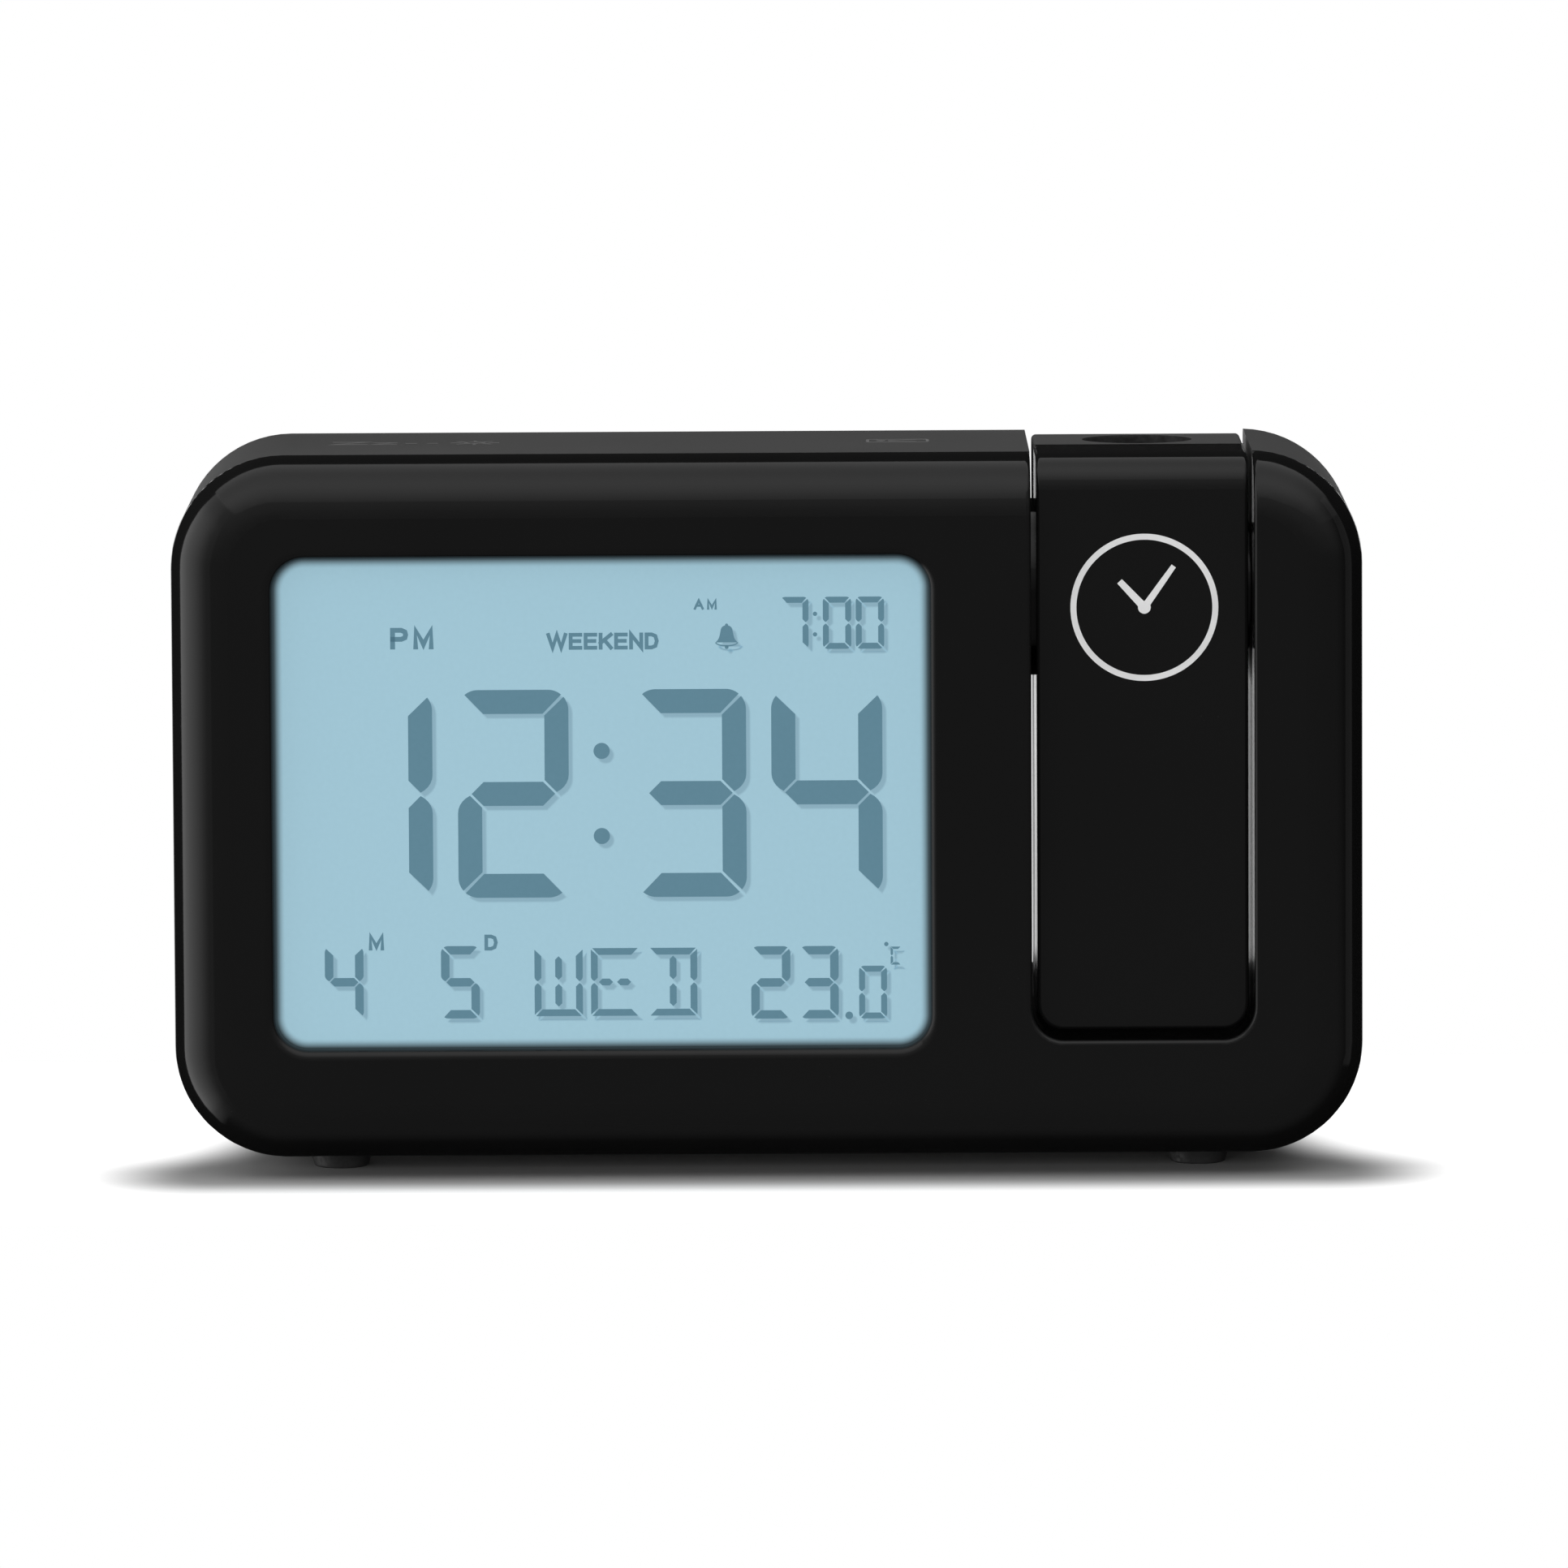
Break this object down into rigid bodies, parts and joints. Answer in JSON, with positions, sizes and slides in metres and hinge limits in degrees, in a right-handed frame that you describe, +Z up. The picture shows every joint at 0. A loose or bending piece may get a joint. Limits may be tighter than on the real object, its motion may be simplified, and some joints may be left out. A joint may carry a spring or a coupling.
{
  "type": "projection alarm clock",
  "caption": "Desk alarm clock with a wide liquid crystal display and a swinging projector arm beside it.",
  "frame": {"origin": "on the table, below the middle of the body", "axes": "+X to the right as the reader faces the display, +Y to the back, +Z up"},
  "size_m": [0.15, 0.044, 0.0912],
  "materials": {
    "front_gloss": "high gloss black",
    "rear_satin": "fine satin black",
    "door_satin": "fine satin black",
    "arm_gloss": "high gloss black",
    "arm_satin": "fine satin black",
    "hub_plastic": "smooth black",
    "foot_rubber": "matt rubber",
    "button_plastic": "satin black",
    "wheel_plastic": "knurled black",
    "display_glass": "pale blue display behind clear glass",
    "rear_glass": "polished",
    "clear_acrylic": "polished clear acrylic",
    "white_plastic": "smooth white",
    "connector_white": "natural nylon",
    "contact_rubber": "layered conductive rubber",
    "board_green": "green solder mask",
    "chip_epoxy": "cast epoxy",
    "socket_black": "smooth black",
    "optics_black": "matt black",
    "barrel_black": "fine matt black",
    "bright_metal": "plated",
    "brass_disc": "lacquered brass",
    "copper_foil": "bright foil",
    "spring_steel": "nickel plated",
    "screw_steel": "zinc plated",
    "sink_aluminium": "bare",
    "cell_wrap": "plain wrapped steel",
    "led_white": "clear cap over phosphor",
    "lens_glass": "polished",
    "film_glass": "polished, masked",
    "wire_black": "flexible sleeve"
  },
  "bodies": {
    "clock_body": {"front_shell": "front_gloss", "rear_shell": "rear_satin", "lcd_front_glass": "display_glass", "lcd_rear_glass": "rear_glass", "light_guide": "clear_acrylic", "backlight_leds": "led_white", "backlight_board": "board_green", "display_tray": "white_plastic", "contact_strip": "contact_rubber", "main_board": "board_green", "main_chip": "chip_epoxy", "clock_crystal": "bright_metal", "temperature_sensor": "chip_epoxy", "arm_connector": "connector_white", "light_touch_pad": "copper_foil", "projector_touch_pad": "copper_foil", "touch_leads": "copper_foil", "button_board": "board_green", "tact_switches": "chip_epoxy", "switch_case": "bright_metal", "power_socket": "socket_black", "buzzer": "brass_disc", "battery_contacts": "spring_steel", "lower_cell": "cell_wrap", "upper_cell": "cell_wrap", "shell_screws": "screw_steel", "tray_screws": "screw_steel", "board_screws": "screw_steel", "button_board_screws": "screw_steel", "board_wires": "wire_black", "front_left_foot": "foot_rubber", "front_right_foot": "foot_rubber", "rear_left_foot": "foot_rubber", "rear_right_foot": "foot_rubber"},
    "projector_arm": {"arm_front_cover": "arm_gloss", "arm_rear_housing": "arm_satin", "left_hub": "hub_plastic", "right_hub": "hub_plastic", "friction_washers": "spring_steel", "hub_clips": "spring_steel", "optics_tube": "optics_black", "condenser_lens": "lens_glass", "projector_film": "film_glass", "led_board": "board_green", "projector_led": "led_white", "heat_sink": "sink_aluminium", "led_board_screws": "screw_steel", "arm_screws": "screw_steel", "arm_wires": "wire_black"},
    "focus_wheel": {"focus_wheel": "wheel_plastic"},
    "lens": {"lens_barrel": "barrel_black", "projection_lens": "lens_glass"},
    "switch": {"switch_knob": "button_plastic", "switch_lever": "chip_epoxy"},
    "battery_door": {"battery_door": "door_satin"},
    "mode_button": {"mode_button": "button_plastic"},
    "time_button": {"time_button": "button_plastic"},
    "alarm_button": {"alarm_button": "button_plastic"},
    "up_button": {"up_button": "button_plastic"},
    "down_button": {"down_button": "button_plastic"}
  },
  "joints": [
    {"name": "arm_tilt", "type": "hinge", "parent": "clock_body", "child": "projector_arm", "pos_m": [0.04715, -0.0034, 0.0732], "axis": [1, 0, 0], "range_deg": [-90, 90]},
    {"name": "focus_turn", "type": "hinge", "parent": "projector_arm", "child": "focus_wheel", "pos_m": [0.04715, 0.0054, 0.079], "axis": [0, 0, 1], "range_deg": [0, 271]},
    {"name": "lens_focus", "type": "slide", "parent": "projector_arm", "child": "lens", "axis": [0, 0, 1], "range_m": [0, 0.003]},
    {"name": "switch_slide", "type": "slide", "parent": "clock_body", "child": "switch", "axis": [1, 0, 0], "range_m": [0, 0.003]},
    {"name": "battery_door_swing", "type": "hinge", "parent": "clock_body", "child": "battery_door", "pos_m": [-0.034, 0.0217, 0.0104], "axis": [-1, 0, 0], "range_deg": [0, 70]},
    {"name": "mode_button_press", "type": "slide", "parent": "clock_body", "child": "mode_button", "axis": [0, -1, 0], "range_m": [0, 0.0005], "stiffness_N_per_m": 1500},
    {"name": "time_button_press", "type": "slide", "parent": "clock_body", "child": "time_button", "axis": [0, -1, 0], "range_m": [0, 0.0005], "stiffness_N_per_m": 1500},
    {"name": "alarm_button_press", "type": "slide", "parent": "clock_body", "child": "alarm_button", "axis": [0, -1, 0], "range_m": [0, 0.0005], "stiffness_N_per_m": 1500},
    {"name": "up_button_press", "type": "slide", "parent": "clock_body", "child": "up_button", "axis": [0, -1, 0], "range_m": [0, 0.0005], "stiffness_N_per_m": 1500},
    {"name": "down_button_press", "type": "slide", "parent": "clock_body", "child": "down_button", "axis": [0, -1, 0], "range_m": [0, 0.0005], "stiffness_N_per_m": 1500}
  ],
  "couplings": [
    {"joint": "focus_turn", "follows": "lens_focus", "rad_per_m": 1570.8}
  ]
}
